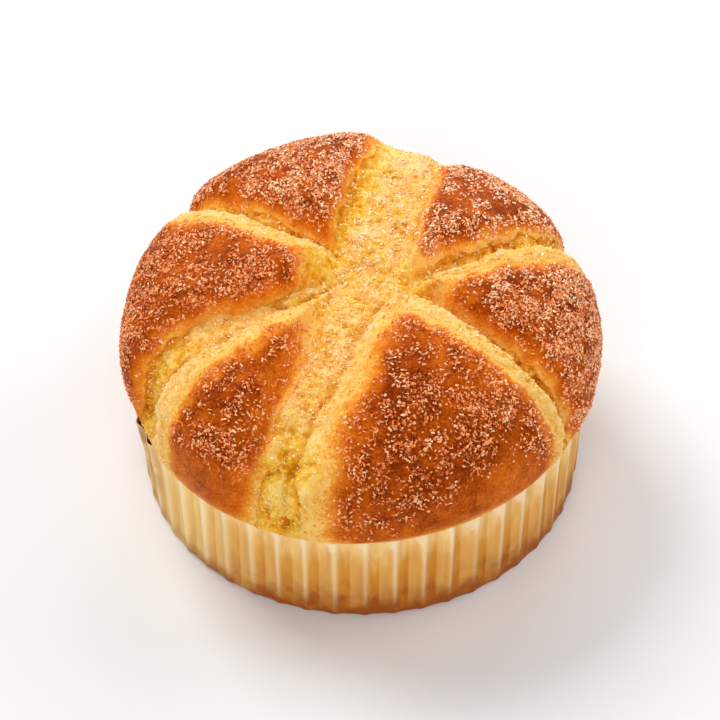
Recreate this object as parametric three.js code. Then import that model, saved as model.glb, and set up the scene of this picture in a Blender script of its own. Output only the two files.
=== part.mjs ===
import * as THREE from 'three';

// A round milk bun with six browned lobes between radial cuts, baked in a fluted paper case.
// Millimetres, +Z up, -Y is the front, and angles run anticlockwise from +X as seen from above.
// The shapes are worked out about the case's axis, which stands AXIS_OFFSET from the origin so
// that the origin is under the middle of the whole uneven bun.
const AXIS_OFFSET = [0.25, -1.15];

// The crown is the part of the bun above the case.
const BUN_HEIGHT = 53;
const CROWN_RADIUS = 46.6;
const CROWN_LEVEL = 33; // height at which the bun is widest
const CROWN_POWER = 2.5; // 2 would be an ellipse, more is squarer at the shoulder
const CROWN_LEAN = 1.8; // the crown stands higher towards LEAN_ANGLE by this much
const LEAN_ANGLE = 100;
const FADE_HEIGHT = 7; // cuts and lobes die out this far above the case's rim

// The paper case.
const CASE_BASE_RADIUS = 44.2;
const CASE_RIM_RADIUS = 45.4;
const CASE_HEIGHT = 22.5;
const RIM_RISE = 2; // the rim stands higher towards RISE_ANGLE
const RISE_ANGLE = 325;
const FLARE = 1.8; // the rim stands away from the bun at FLARE_ANGLE
const FLARE_ANGLE = 192;
const FLARE_SPREAD = 18;
const FLUTES = 48;
const FLUTE_DEPTH = 1.3;
const RIDGE_SHARPNESS = 2; // above 1 the ridges are narrower than the valleys
const PAPER = 0.45;
const BASE_EDGE = 0.8; // rounding where the wall meets the floor
const GAP = 0.35; // between the paper and the bun

const HEEL_RADIUS = 3; // rounding of the bun's bottom edge inside the case

// How finely the faceted skins are divided. The bun's columns follow the cuts, so that the
// foot and the top of every wall run cleanly along the edges of the facets.
const COLUMNS_PER_FLUTE = 4;
const WALL_COLUMNS = 3;
const LOBE_COLUMNS = 10;
const DOME_RINGS = 20;
const SHOULDER_RINGS = 5;
const HEEL_RINGS = 2;
const PROFILE_SAMPLES = 200;
const ROOT_RADIUS = 12; // inside this radius the columns run straight to the middle
const FULLEST = 0.85; // walls narrow together where they would fill more of a lobe than this

// Each cut runs outwards from the middle. Its three-part sizes are read at the root, halfway
// and at the rim: shift moves it sideways (anticlockwise is positive), floor is half the width
// of its flat bottom and depth is how far it is pressed in. wall gives the widths of the
// slopes on its clockwise and anticlockwise sides. lift raises the lobe that comes after the
// cut, anticlockwise.
const CUTS = [
  {
    angle: 31,
    shift: [-4, -3.3, -4.2],
    floor: [1, 0.8, 0.6],
    depth: [5, 4.5, 1],
    wall: [4.5, 2.5],
    lift: 0,
  },
  {
    angle: 76,
    shift: [0, -0.5, -1.5],
    floor: [5.5, 6.5, 6.5],
    depth: [5, 2.5, 0],
    wall: [4.5, 3],
    lift: 4,
  },
  {
    angle: 141,
    shift: [-4, -3.4, -1.5],
    floor: [1, 0.5, 0.5],
    depth: [5, 4.5, 1.5],
    wall: [2.5, 6],
    lift: 1.5,
  },
  {
    angle: 200,
    shift: [-5, -5, -3],
    floor: [1, 0.8, 0.8],
    depth: [5, 6, 5],
    wall: [3, 12],
    lift: 1,
  },
  {
    angle: 252.5,
    shift: [0, -0.7, -4.5],
    floor: [5, 4.5, 5.5],
    depth: [5, 5, 4],
    wall: [3.5, 5.5],
    lift: 1.5,
  },
  {
    angle: 323,
    shift: [3, 3.8, 4.2],
    floor: [0.8, 0.5, 0.5],
    depth: [5, 6, 4],
    wall: [7, 2.5],
    lift: 1,
  },
];
const LIFT_WALLS = 2.5; // a lobe reaches its full lift this many wall widths from a cut

const radians = THREE.MathUtils.degToRad;
const clamp = THREE.MathUtils.clamp;
const smooth = (t) => THREE.MathUtils.smoothstep(t, 0, 1);

// Straight lines through the values at the root, halfway and at the rim.
function along(values, t) {
  const s = clamp(t, 0, 1) * 2;
  return s < 1 ? values[0] + (values[1] - values[0]) * s : values[1] + (values[2] - values[1]) * (s - 1);
}

// The parabola through the same three values, which keeps a bent cut smooth.
function bend([root, half, rim], t) {
  return root * (1 - t) * (1 - 2 * t) + half * 4 * t * (1 - t) + rim * t * (2 * t - 1);
}

// How one cut shapes the point (x, y). wallPlace is 0 on the floor's edge and 1 at the top of
// the wall, and press is how far the crown is pressed in.
function cutShape(cut, x, y) {
  const a = radians(cut.angle);
  const out = x * Math.cos(a) + y * Math.sin(a);
  const across = y * Math.cos(a) - x * Math.sin(a);
  const t = clamp(out / CROWN_RADIUS, 0, 1);
  const side = across - bend(cut.shift, t);
  const distance = out > 0 ? Math.abs(side) : Math.hypot(out, side);
  const wallPlace = (distance - along(cut.floor, t)) / cut.wall[side < 0 ? 0 : 1];
  return { wallPlace, press: along(cut.depth, t) * (1 - smooth(wallPlace)) };
}

// The angle at which a cut's middle line crosses the circle of radius r.
function cutAngle(cut, r) {
  const across = bend(cut.shift, clamp(r / CROWN_RADIUS, 0, 1));
  return radians(cut.angle) + Math.asin(across / Math.max(r, ROOT_RADIUS));
}

// The lift of the lobe that the point (x, y) belongs to.
function lobeLift(x, y) {
  const angle = THREE.MathUtils.euclideanModulo(Math.atan2(y, x), 2 * Math.PI);
  const before = CUTS.filter((cut) => cutAngle(cut, Math.hypot(x, y)) <= angle);
  return (before.length ? before[before.length - 1] : CUTS[CUTS.length - 1]).lift;
}

// What is added to the plain crown along its normal at (x, y).
function relief(x, y) {
  const shapes = CUTS.map((cut) => cutShape(cut, x, y));
  const nearest = Math.min(...shapes.map((shape) => shape.wallPlace));
  const press = Math.max(...shapes.map((shape) => shape.press));
  return lobeLift(x, y) * smooth(nearest / LIFT_WALLS) - press;
}

const rimRise = (angle) => RIM_RISE * Math.max(0, Math.cos(angle - radians(RISE_ANGLE))) ** 2;
const rimHeight = (angle) => CASE_HEIGHT + rimRise(angle);
const caseRadius = (level) => CASE_BASE_RADIUS + (CASE_RIM_RADIUS - CASE_BASE_RADIUS) * level;
const bunFitRadius = (level) => caseRadius(level) - FLUTE_DEPTH - PAPER - GAP;

// The dome's plain profile over the widest level, from the top (t = 1) down (t = 0).
function domePoint(t) {
  const [c, s] = [Math.cos((t * Math.PI) / 2), Math.sin((t * Math.PI) / 2)];
  const power = 2 / CROWN_POWER;
  const rise = BUN_HEIGHT - CROWN_LEVEL;
  const normal = [c ** (2 - power) / CROWN_RADIUS, s ** (2 - power) / rise];
  return { r: CROWN_RADIUS * c ** power, z: CROWN_LEVEL + rise * s ** power, normal };
}

// The values of t that set the dome's rings an equal distance apart along the profile.
function domeSteps() {
  const samples = [];
  for (let i = 0; i <= PROFILE_SAMPLES; i++) {
    const { r, z } = domePoint(1 - i / PROFILE_SAMPLES);
    samples.push(new THREE.Vector2(r, z));
  }
  const profile = new THREE.SplineCurve(samples);
  const steps = [];
  for (let ring = 0; ring <= DOME_RINGS; ring++) {
    steps.push(1 - profile.getUtoTmapping(ring / DOME_RINGS));
  }
  return steps;
}

const DOME_STEPS = domeSteps();

// The shoulder turns in under the widest level to meet the case's rim.
function shoulderPoint(share, angle) {
  const u = (Math.PI / 2) * share;
  const width = CROWN_RADIUS - bunFitRadius(1);
  const drop = CROWN_LEVEL - rimHeight(angle) - GAP;
  const normal = [Math.cos(u) / width, -Math.sin(u) / drop];
  return { r: bunFitRadius(1) + width * Math.cos(u), z: CROWN_LEVEL - drop * Math.sin(u), normal };
}

function crownPoint({ r, z, normal }, angle) {
  const [x, y] = [r * Math.cos(angle), r * Math.sin(angle)];
  const fade = smooth((z - rimHeight(angle) - GAP) / FADE_HEIGHT);
  const push = (relief(x, y) * fade) / Math.hypot(...normal);
  const lean = (CROWN_LEAN * fade * r * Math.cos(angle - radians(LEAN_ANGLE))) / CROWN_RADIUS;
  const radius = Math.max(0, r + push * normal[0]);
  return [radius * Math.cos(angle), radius * Math.sin(angle), z + push * normal[1] + lean];
}

// Below the crown the bun fills the case, with a rounded heel and a flat bottom.
function heelPoint(row, angle) {
  const t = (Math.PI / 2) * (row / HEEL_RINGS);
  const radius = bunFitRadius(0) - HEEL_RADIUS * (1 - Math.cos(t));
  const z = PAPER + GAP + HEEL_RADIUS * (1 - Math.sin(t));
  return [radius * Math.cos(angle), radius * Math.sin(angle), z];
}

// The angles of all columns on the circle of radius r. Between two cuts they are the first
// cut's middle and wall, the lobe, and the second cut's wall.
function columnAngles(r) {
  const radius = Math.max(r, ROOT_RADIUS);
  const t = clamp(r / CROWN_RADIUS, 0, 1);
  return CUTS.flatMap((cut, i) => {
    const next = CUTS[(i + 1) % CUTS.length];
    const start = cutAngle(cut, r);
    const span = THREE.MathUtils.euclideanModulo(cutAngle(next, r) - start, 2 * Math.PI);
    const sides = [
      { foot: along(cut.floor, t), wall: cut.wall[1] },
      { foot: along(next.floor, t), wall: next.wall[0] },
    ];
    const filled = sides[0].foot + sides[0].wall + sides[1].foot + sides[1].wall;
    const scale = Math.min(1, (FULLEST * span * radius) / filled) / radius;
    const [up, down] = sides.map(({ foot, wall }) =>
      Array.from({ length: WALL_COLUMNS + 1 }, (_, k) => (foot + (wall * k) / WALL_COLUMNS) * scale),
    );
    const [crestStart, crestEnd] = [up[WALL_COLUMNS], span - down[WALL_COLUMNS]];
    const crest = Array.from({ length: LOBE_COLUMNS }, (_, k) =>
      THREE.MathUtils.lerp(crestStart, crestEnd, (k + 1) / (LOBE_COLUMNS + 1)),
    );
    const back = down.map((turn) => span - turn).reverse();
    return [0, ...up, ...crest, ...back].map((turn) => start + turn);
  });
}

// The wall's ridges and valleys are one wave per flute. level runs from 0 at the base to 1 at
// the rim, and inset is 0 on the outer side and PAPER on the inner side.
function wallPoint(level, inset, angle) {
  const ridge = (0.5 + 0.5 * Math.cos(FLUTES * angle)) ** RIDGE_SHARPNESS;
  const fromFlare = THREE.MathUtils.radToDeg(angle) - FLARE_ANGLE;
  const turn = THREE.MathUtils.euclideanModulo(fromFlare + 180, 360) - 180;
  const flare = FLARE * level ** 2 * Math.exp(-((turn / FLARE_SPREAD) ** 2));
  const radius = caseRadius(level) - FLUTE_DEPTH * (1 - ridge) + flare - inset;
  const z = BASE_EDGE + (rimHeight(angle) - BASE_EDGE) * level;
  return [radius * Math.cos(angle), radius * Math.sin(angle), z];
}

// From the floor's edge up the inner wall, over the rim and down the outer wall to the
// underside's edge.
const CASE_LEVELS = [0, 0.5, 1, 1, 0.5, 0];

function casePoint(row, angle) {
  const inside = row <= CASE_LEVELS.length / 2;
  if (row > 0 && row <= CASE_LEVELS.length) {
    return wallPoint(CASE_LEVELS[row - 1], inside ? PAPER : 0, angle);
  }
  const edge = wallPoint(0, BASE_EDGE + (inside ? PAPER : 0), angle);
  return [edge[0], edge[1], inside ? PAPER : 0];
}

// A closed skin: a point, rings that each go round anticlockwise with the same number of
// points, and a last point. The skin runs downwards on its outer side.
function closedSkin(firstPole, rings, lastPole) {
  const columns = rings[0].length;
  const last = 1 + rings.length * columns;
  const at = (ring, column) => 1 + ring * columns + (column % columns);
  const triangles = [];
  for (let column = 0; column < columns; column++) {
    triangles.push(0, at(0, column), at(0, column + 1));
    triangles.push(last, at(rings.length - 1, column + 1), at(rings.length - 1, column));
    for (let ring = 0; ring < rings.length - 1; ring++) {
      const [a, b] = [at(ring, column), at(ring, column + 1)];
      const [c, d] = [at(ring + 1, column), at(ring + 1, column + 1)];
      triangles.push(a, c, b, b, c, d);
    }
  }
  const geometry = new THREE.BufferGeometry();
  const positions = [firstPole, ...rings.flat(), lastPole].flat();
  geometry.setAttribute('position', new THREE.Float32BufferAttribute(positions, 3));
  geometry.setIndex(triangles);
  geometry.computeVertexNormals();
  return geometry;
}

function bunGeometry() {
  const domeRings = DOME_STEPS.slice(1).map((t) => {
    const profile = domePoint(t);
    return columnAngles(profile.r).map((angle) => crownPoint(profile, angle));
  });
  const columns = columnAngles(CROWN_RADIUS);
  const shoulderRings = Array.from({ length: SHOULDER_RINGS }, (_, ring) =>
    columns.map((angle) => crownPoint(shoulderPoint((ring + 1) / SHOULDER_RINGS, angle), angle)),
  );
  const heelRings = Array.from({ length: HEEL_RINGS + 1 }, (_, ring) =>
    columns.map((angle) => heelPoint(ring, angle)),
  );
  const top = crownPoint(domePoint(1), 0);
  return closedSkin(top, [...domeRings, ...shoulderRings, ...heelRings], [0, 0, PAPER + GAP]);
}

function caseGeometry() {
  const columns = FLUTES * COLUMNS_PER_FLUTE;
  const rings = Array.from({ length: CASE_LEVELS.length + 2 }, (_, row) =>
    Array.from({ length: columns }, (_, column) => casePoint(row, (2 * Math.PI * column) / columns)),
  );
  return closedSkin([0, 0, PAPER], rings, [0, 0, 0]);
}

const crust = new THREE.MeshStandardMaterial({ color: 0xb8621f, roughness: 0.55, metalness: 0 });
const paper = new THREE.MeshStandardMaterial({ color: 0xe3c58f, roughness: 0.8, metalness: 0 });

function namedMesh(name, geometry, material) {
  const mesh = new THREE.Mesh(geometry, material);
  mesh.name = name;
  return mesh;
}

const milkBun = new THREE.Group();
milkBun.position.set(...AXIS_OFFSET, 0);
milkBun.add(namedMesh('bun', bunGeometry(), crust));
milkBun.add(namedMesh('paper_case', caseGeometry(), paper));

export default milkBun;
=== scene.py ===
# %% [markdown]
# # A milk bun in its paper case
#
# A round sweet bread. Its top was cut like a star before it went into the oven, so six lobes
# rose and browned while the dough between them tore open and stayed pale. Coarse sugar lies
# on the lobes, fine sugar in the cuts, and a fluted paper case holds the lower half.
#
# The lesson starts from the solids of the construction, which fix every size. They are
# loaded first and never moved: the new pieces are modelled in the same place and stand for
# them.

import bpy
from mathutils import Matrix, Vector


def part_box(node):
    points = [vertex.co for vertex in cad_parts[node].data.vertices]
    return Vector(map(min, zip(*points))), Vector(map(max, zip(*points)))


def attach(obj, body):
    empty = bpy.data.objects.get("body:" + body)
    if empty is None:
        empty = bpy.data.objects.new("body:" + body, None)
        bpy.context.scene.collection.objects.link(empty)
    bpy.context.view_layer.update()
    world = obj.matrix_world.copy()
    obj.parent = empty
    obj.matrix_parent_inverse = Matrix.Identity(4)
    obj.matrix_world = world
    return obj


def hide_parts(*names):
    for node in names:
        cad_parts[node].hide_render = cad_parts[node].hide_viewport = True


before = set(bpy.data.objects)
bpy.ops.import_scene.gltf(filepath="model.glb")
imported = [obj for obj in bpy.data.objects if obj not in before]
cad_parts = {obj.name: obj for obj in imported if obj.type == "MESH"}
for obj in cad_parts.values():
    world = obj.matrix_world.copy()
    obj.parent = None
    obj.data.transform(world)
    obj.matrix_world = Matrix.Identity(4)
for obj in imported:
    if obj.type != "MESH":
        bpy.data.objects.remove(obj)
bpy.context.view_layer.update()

# %% What the lesson uses
import math

import bpy
import numpy as np
from mathutils import Vector, noise

MM = 0.001  # sizes below are in millimetres, and Blender's are in metres

# %% [markdown]
# ## Sizes
#
# The case is round and the bun isn't, so all shapes are worked out about the case's upright
# axis. Its rim is a circle whose front, back and right ends are the ends of the case's box.
# What the boxes can't say, such as how full the shoulder is, is named here.

# %% Sizes
case_low, case_high = (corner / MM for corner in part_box("paper_case"))
bun_low, bun_high = (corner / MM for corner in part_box("bun"))

RIM_RADIUS = (case_high.y - case_low.y) / 2
AXIS_X = case_high.x - RIM_RADIUS
AXIS_Y = (case_high.y + case_low.y) / 2
RIM_RISE = 2  # the rim stands higher towards RISE_ANGLE
RISE_ANGLE = math.radians(325)
RIM_HEIGHT = case_high.z - RIM_RISE

CROWN_RADIUS = 46.6
CROWN_LEVEL = 33  # the height at which the bun is widest
CROWN_HEIGHT = 53  # of the plain crown, before lobes rise from it
CROWN_POWER = 2.5  # 2 would be an ellipse, more is squarer at the shoulder
SHOULDER_POWER = 4.5  # the crown swells over the case's rim as soon as it leaves it
CROWN_LEAN = 1.8
LEAN_ANGLE = math.radians(100)
FADE_HEIGHT = 7  # cuts and lobes die out this far above the rim

BASE_RADIUS = 44.2  # of the case, at the ridges of its flutes
FLUTES = 48
FLUTE_DEPTH = 1.3
PAPER = 0.2
SNUG = 0.12  # air between the paper's valleys and the bun
HEEL_RADIUS = 3
print(f"case axis at {AXIS_X:.2f}, {AXIS_Y:.2f} mm, rim radius {RIM_RADIUS:.1f} mm")
print(f"solid bun from {bun_low.z:.1f} to {bun_high.z:.1f} mm high")

# %% [markdown]
# ## The six cuts
#
# Each cut runs outwards from the middle. What has three sizes has them at the middle, halfway
# and at the rim. What has two has them on the cut's clockwise and anticlockwise sides, seen
# from above.
#
# - `shift` bends the cut sideways
# - `floor` is half the width of its flat bottom, `wall` the width of each slope
# - `depth` is how far it is pressed in, `swell` how far a wide floor stands up in its middle
# - `lift` raises the lobe that comes after the cut, beside this cut and beside the next
# - `lip` is 1 where the dough tore to a pale, rolled lip, and 0 for a steep wall, which gets a
#   golden painted shade
# - `edge` tells how far up each side the crust begins, near the middle and at the rim, as a
#   share of the wall, and `gradual` how slowly that side turns from crumb to crust
# - `sand` is how much fine sugar fills the floor
# - `crack` is how sharp the crease under the lip is

# %% The six cuts
CUTS = [
    dict(angle=31, shift=(-4.2, -4.8, -5.8), floor=(1, 0.8, 0.6), depth=(5, 4.5, 1),
         wall=(4.5, 4), lift=(1.5, 1.5), lip=(0.7, 0), edge=((0.85, 1.6), (0.2, 0.45)),
         sand=(0.6, 0.1, 0), crack=(0, 0.25, 0.1), swell=0, gradual=(1, 0.6)),
    dict(angle=76, shift=(0, -1.9, -3.1), floor=(5.5, 4.9, 4.7), depth=(5, 2.5, 0.5),
         wall=(4.5, 7.5), lift=(4.6, 1.8), lip=(0.4, 0), edge=((0.6, -0.1), (0.45, 0.7)),
         sand=(1, 1, 0.8), crack=(0, 0, 0), swell=0.8, gradual=(0.6, 0.7)),
    dict(angle=141, shift=(-4, -3.4, -0.4), floor=(1, 0.5, 0.5), depth=(5, 4.5, 1.5),
         wall=(2.5, 6), lift=(1.2, 1.2), lip=(0, 1), edge=((0.1, 0), (1.15, 1.15)),
         sand=(0.6, 0.1, 0), crack=(0.2, 0.6, 0.4), swell=0, gradual=(0.5, 0.9)),
    dict(angle=200, shift=(-3.8, -1.5, -0.2), floor=(1, 1.9, 2.2), depth=(5, 5.2, 4),
         wall=(3, 8), lift=(1, 1), lip=(0, 1), edge=((-0.25, 0.4), (0.25, 1.22)),
         sand=(0.6, 0.3, 0.1), crack=(0.4, 0.45, 0.35), swell=0.3, gradual=(0.6, 1.1)),
    dict(angle=252.5, shift=(0, -2, -6.4), floor=(5, 3.9, 4.2), depth=(5, 5, 2.5),
         wall=(3.5, 7.5), lift=(1.5, 1.5), lip=(0.2, 1), edge=((-0.3, -0.6), (0.15, 0.86)),
         sand=(1, 0.8, 0.3), crack=(0.3, 0.25, 0.35), swell=0.8, gradual=(1.1, 2)),
    dict(angle=323, shift=(3, 4.4, 5), floor=(0.8, 0.5, 0.5), depth=(5, 5.2, 2.5),
         wall=(3.4, 2.6), lift=(1, 1), lip=(1, 0), edge=((1.85, 1.6), (-0.2, 0.2)),
         sand=(0.6, 0.1, 0), crack=(0, 0.7, 0.6), swell=0, gradual=(0.8, 0.5)),
]
CORE_RADIUS = 11  # no crust nearer to the middle than this
LIFT_WIDTH = 10  # a lobe reaches its full lift this far from the foot of a cut, or sooner
LIFT_WALLS = 2  # beside a steep wall, in wall widths
ROLL_HEIGHT = 0.6  # a torn lip stands up this far
ROLL_PLACE = 2.6  # from the foot of its cut
ROLL_WIDTH = 1.5
BROAD_DRIFT, FINE_DRIFT = 1.3, 0.7  # how far the sides of the cuts wander
ROOT = 0.25  # of a cut's length, over which it grows out of the middle
RUN_STEP = 60  # keeps the noise along one cut apart from that along another
NEAREST = 12  # directions are unsure nearer to the middle than this


def smooth(t):
    """0 below 0, 1 above 1, and an even S between."""
    t = np.clip(t, 0, 1)
    return t * t * (3 - 2 * t)


def bell(t):
    """1 at 0, fading either way, about a third at 1 and almost 0 at 2."""
    return np.exp(-t ** 2)


def along(values, t):
    """Straight lines through the values at the middle, halfway and at the rim."""
    return np.interp(t, (0, 0.5, 1), values)


def bend(values, t):
    """The parabola through the same three values."""
    root, half, rim = values
    return root * (1 - t) * (1 - 2 * t) + half * 4 * t * (1 - t) + rim * t * (2 * t - 1)


def wander(points, size, seed=0):
    """Soft noise from -1 to 1 whose bumps are about this size in millimetres."""
    offset = Vector((13.7, 41.3, 7.9)) * (seed + 1)
    return np.array([noise.noise(Vector(p) / size + offset) for p in points.T])


# %% [markdown]
# Every later step asks the same questions about a point of the crown: how far is it pressed
# in, how near is the closest cut, and is that side a lip or a wall? One function answers
# them for all points at once. The tears aren't straight, so a little noise moves each cut
# sideways before it is measured.

# %% Reading the cuts
def read_cuts(x, y):
    """What the cuts do at each point: a dict of arrays. place is 0 at the foot of the nearest
    wall and 1 at its top. foot, run and margin are distances in millimetres: from that foot,
    along the cut and into the crust, though margin is stretched where the crust begins
    suddenly. lip, sand and crack are the nearest cut's own. press is how far the cuts press
    the point in, and lift how far its lobe stands up."""
    flat = np.array([x, y, np.zeros_like(x)])
    drift = BROAD_DRIFT * wander(flat, 9) + FINE_DRIFT * wander(flat, 3.5, 1)
    angle = np.arctan2(y, x) % math.tau
    radius = np.hypot(x, y)
    names = ("foot", "run", "lip", "sand", "crack", "press", "lift")
    found = {name: np.zeros(x.shape) for name in names}
    found["place"] = np.full(x.shape, np.inf)
    found["margin"] = radius + drift - CORE_RADIUS
    middles = []
    for cut in CUTS:
        turn = math.radians(cut["angle"])
        out = x * math.cos(turn) + y * math.sin(turn)
        across = y * math.cos(turn) - x * math.sin(turn)
        t = np.clip(out / CROWN_RADIUS, 0, 1)
        side = across - bend(cut["shift"], t)
        distance = np.where(out > 0, np.abs(side), np.hypot(out, side))
        distance += drift * smooth(t / ROOT)
        wall = np.where(side < 0, *cut["wall"])
        place = (distance - along(cut["floor"], t)) / wall
        nearer = place < found["place"]
        press = along(cut["depth"], t) * (1 - smooth(place))
        press -= cut["swell"] * smooth(-place) * smooth(t / ROOT)
        found["press"] = np.maximum(found["press"], press)
        edges = [root + (rim - root) * t for root, rim in cut["edge"]]
        lip = np.where(side < 0, *cut["lip"])
        margin = (place - np.where(side < 0, *edges)) * wall
        margin /= np.where(side < 0, *cut["gradual"])
        found["margin"] = np.minimum(found["margin"], margin)
        own = dict(place=place, foot=place * wall, lip=lip, sand=along(cut["sand"], t),
                   run=out + RUN_STEP * cut["angle"], crack=along(cut["crack"], t) * lip)
        for name, value in own.items():
            found[name] = np.where(nearer, value, found[name])
        sideways = bend(cut["shift"], np.clip(radius / CROWN_RADIUS, 0, 1))
        middles.append(turn + np.arcsin(sideways / np.maximum(radius, NEAREST)))
    for cut, middle, next_middle in zip(CUTS, middles, middles[1:] + middles[:1]):
        share = (angle - middle) % math.tau / ((next_middle - middle) % math.tau)
        here, there = cut["lift"]
        found["lift"] = np.where(share < 1, here + (there - here) * share, found["lift"])
    return found


print(f"{len(CUTS)} cuts at", ", ".join(f"{cut['angle']} degrees" for cut in CUTS))


# %% The rim
def rim_height(x, y):
    """The height of the case's rim in the direction of each point, in millimetres."""
    facing_rise = np.cos(np.arctan2(y, x) - RISE_ANGLE)
    return RIM_HEIGHT + RIM_RISE * np.maximum(0, facing_rise) ** 2


print(f"rim from {RIM_HEIGHT:.1f} to {RIM_HEIGHT + RIM_RISE:.1f} mm high")


# %% [markdown]
# ## Helpers for modelling
#
# Modelling by hand is select, act, select, act. These helpers do the selecting and the
# applying, so that each later cell holds only the shaping itself.

# %% Helpers for modelling
def pick(piece):
    """Makes a piece the only selected and the active one."""
    bpy.ops.object.select_all(action="DESELECT")
    piece.select_set(True)
    bpy.context.view_layer.objects.active = piece


def name_new(name):
    """Names the object that was just added."""
    piece = bpy.context.active_object
    piece.name = piece.data.name = name
    return piece


def add_disc(name, points, radius, height):
    """Adds a flat disc about the case's axis, with its place in its mesh."""
    bpy.ops.mesh.primitive_circle_add(
        vertices=points, radius=radius * MM, fill_type="NGON",
        location=(AXIS_X * MM, AXIS_Y * MM, height * MM))
    disc = name_new(name)
    bpy.ops.object.transform_apply(location=True, rotation=True, scale=True)
    return disc


def edit(action):
    """Opens the active piece in edit mode, with action SELECT for all and DESELECT for none."""
    bpy.ops.object.mode_set(mode="EDIT")
    bpy.ops.mesh.select_all(action=action)


def close(piece):
    """Turns all faces outwards, leaves edit mode and prints the piece's size."""
    bpy.ops.mesh.select_all(action="SELECT")
    bpy.ops.mesh.normals_make_consistent(inside=False)
    bpy.ops.object.mode_set(mode="OBJECT")
    count(piece)


def finish_with(piece, kind, **settings):
    """Adds a modifier with these settings and applies it."""
    pick(piece)
    modifier = piece.modifiers.new(kind.title(), kind)
    for name, value in settings.items():
        setattr(modifier, name, value)
    bpy.ops.object.modifier_apply(modifier=modifier.name)


def places(piece):
    """The vertices' x, y and z from the case's axis, in millimetres."""
    flat = np.empty(len(piece.data.vertices) * 3)
    piece.data.vertices.foreach_get("co", flat)
    x, y, z = flat.reshape(-1, 3).T / MM
    return np.array([x - AXIS_X, y - AXIS_Y, z])


def displace(piece, amounts, **settings):
    """Applies a Displace modifier that is weighted by amounts from 0 to 1."""
    group = piece.vertex_groups.new(name="weights")
    for index, amount in enumerate(np.clip(amounts, 0, 1).tolist()):
        group.add([index], amount, "REPLACE")
    finish_with(piece, "DISPLACE", vertex_group="weights", **settings)
    piece.vertex_groups.remove(piece.vertex_groups["weights"])


def push(piece, amounts, direction="NORMAL"):
    """Moves each vertex by its own amount in millimetres, those that rise before the rest."""
    for sign in (1, -1):
        reach = float(np.max(sign * amounts))
        if reach > 0:
            displace(piece, sign * amounts / reach, mid_level=0,
                     strength=sign * reach * MM, direction=direction)


def paint(piece, **maps):
    """Stores maps, of one number a vertex, for the material to read."""
    for name, values in maps.items():
        layer = piece.data.attributes.new(name, "FLOAT", "POINT")
        layer.data.foreach_set("value", np.asarray(values, dtype=np.float32))
        print(f"map {name}: {np.mean(values):.2f} on average")


def count(piece):
    """Prints a piece's size."""
    piece.data.calc_loop_triangles()
    corners = places(piece)
    size = " x ".join(f"{side:.1f}" for side in corners.max(1) - corners.min(1))
    print(f"{piece.name}: {len(piece.data.loop_triangles)} triangles, {size} mm")


# %% [markdown]
# ## The bun's plain form
#
# Before the cuts, the dough is a body of revolution: a flat bottom, a rounded heel, a nearly
# straight side in the case, a shoulder that swells out over the rim, and a full dome. A lathe
# would make it, and so would a sphere pressed flat, but a disc drawn up ring by ring gives
# each stretch its own curve, and that is how a potter would do it.

# %% The bun's profile
DOME_RINGS = 40
SHOULDER_RINGS = 14
HEEL_RINGS = 4
RING_POINTS = 192


def valley_radius(level):
    """The radius inside the paper, at its valleys. level is 0 at the base and 1 at the rim."""
    return BASE_RADIUS + (RIM_RADIUS - BASE_RADIUS) * level - FLUTE_DEPTH - PAPER - SNUG


def quarter(steps):
    """The sine and cosine at each step of a quarter turn."""
    turns = [math.pi / 2 * step / steps for step in range(steps + 1)]
    return [(math.sin(turn), math.cos(turn)) for turn in turns]


def bun_profile():
    """(radius, height) of each ring, from the bottom to just under the top."""
    bottom = PAPER + SNUG
    rings = []
    for sine, cosine in quarter(HEEL_RINGS):
        rings.append((valley_radius(0) - HEEL_RADIUS * (1 - sine),
                      bottom + HEEL_RADIUS * (1 - cosine)))
    share = 2 / SHOULDER_POWER
    for sine, cosine in quarter(SHOULDER_RINGS):
        rings.append((valley_radius(1) + (CROWN_RADIUS - valley_radius(1)) * sine ** share,
                      CROWN_LEVEL - (CROWN_LEVEL - RIM_HEIGHT) * cosine ** share))
    share = 2 / CROWN_POWER
    for sine, cosine in quarter(DOME_RINGS)[1:-1]:
        rings.append((CROWN_RADIUS * cosine ** share,
                      CROWN_LEVEL + (CROWN_HEIGHT - CROWN_LEVEL) * sine ** share))
    return rings


def draw_up(rings):
    """Extrudes what is selected through the rings, from the first one to the last."""
    for (radius, height), (next_radius, next_height) in zip(rings, rings[1:]):
        bpy.ops.mesh.extrude_region_move(
            TRANSFORM_OT_translate={"value": (0, 0, (next_height - height) * MM)})
        share = next_radius / radius
        bpy.ops.transform.resize(value=(share, share, 1),
                                 center_override=(AXIS_X * MM, AXIS_Y * MM, next_height * MM))


# %% The bun's plain form
profile = bun_profile()
bun = add_disc("bun_form", RING_POINTS, *profile[0])
edit("SELECT")
draw_up(profile)
close(bun)

# %% [markdown]
# ## Lobes and cuts
#
# A voxel remesh turns the rings into an even skin, as fine everywhere, so that shapes may
# run across it in any direction. The lobes are then raised and the cuts pressed in by
# weights painted by rule, which follows the dough's own surface as a thumb would. The walls
# get stretched by that, so the skin is remeshed once more.

# %% Lobes and cuts
FORM_VOXEL = 0.7
SKIN_VOXEL = 0.75

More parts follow.
